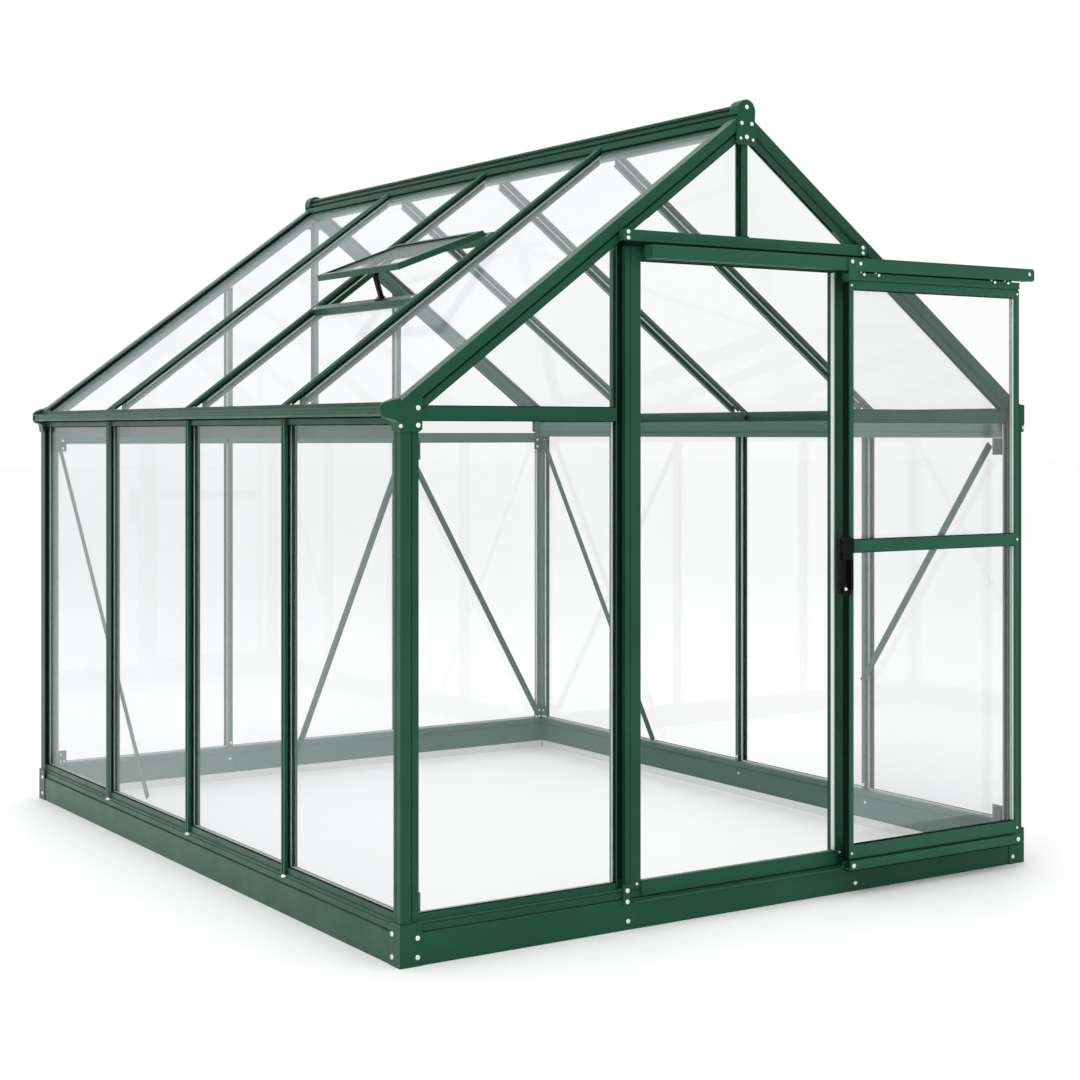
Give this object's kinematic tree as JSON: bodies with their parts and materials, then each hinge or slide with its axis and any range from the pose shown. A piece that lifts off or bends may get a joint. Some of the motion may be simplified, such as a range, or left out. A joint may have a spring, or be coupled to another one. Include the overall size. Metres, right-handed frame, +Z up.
{
  "type": "greenhouse",
  "caption": "Small glass greenhouse with a dark green metal frame on a low plinth, a gabled roof with an open vent, and a sliding door hung on the gable front.",
  "frame": {"origin": "middle of the outline at ground level, under the plinth", "axes": "+X to the right seen from the front, +Y from the door gable to the rear gable along the ridge, +Z up"},
  "size_m": [1.994, 2.427, 1.977],
  "materials": {
    "frame_green": "satin dark green powder coat",
    "door_green": "satin dark green powder coat",
    "clear_glass": "clear horticultural glass",
    "black_plastic": "moulded black",
    "steel_fixings": "zinc plated",
    "pale_seal": "pale grey extruded seal"
  },
  "bodies": {
    "house": {"base_front": "frame_green", "base_rear": "frame_green", "base_sides": "frame_green", "base_corner_plates": "frame_green", "corner_posts": "frame_green", "sill_rails": "frame_green", "left_wall_bars": "frame_green", "right_wall_bars": "frame_green", "eave_beams": "frame_green", "gutters": "frame_green", "gutter_end_caps": "frame_green", "door_jambs": "frame_green", "door_head_rail": "frame_green", "door_sill_rail": "frame_green", "gable_header": "frame_green", "gable_mid_rails": "frame_green", "king_posts": "frame_green", "rear_wall_bars": "frame_green", "front_rafters": "frame_green", "rear_rafters": "frame_green", "left_roof_bars": "frame_green", "right_roof_bars": "frame_green", "ridge_beam": "frame_green", "ridge_end_plates": "frame_green", "roof_vent_rails": "frame_green", "roof_vent_frame": "frame_green", "inner_corner_brackets": "frame_green", "wall_braces": "frame_green", "door_track": "door_green", "door_track_skirt": "door_green", "door_guide_rail": "door_green", "left_wall_glass": "clear_glass", "right_wall_glass": "clear_glass", "front_glass": "clear_glass", "rear_glass": "clear_glass", "left_roof_glass": "clear_glass", "right_roof_glass": "clear_glass", "roof_vent_glass": "clear_glass", "roof_vent_stay": "black_plastic", "door_jamb_seals": "pale_seal"},
    "door": {"door_stiles": "door_green", "door_rails": "door_green", "door_glass": "clear_glass", "door_hanger_rail": "door_green", "door_rollers": "steel_fixings", "door_handle": "black_plastic"}
  },
  "joints": [
    {"name": "door_slide", "type": "slide", "parent": "house", "child": "door", "axis": [1, 0, 0], "range_m": [-0.612, 0]}
  ]
}
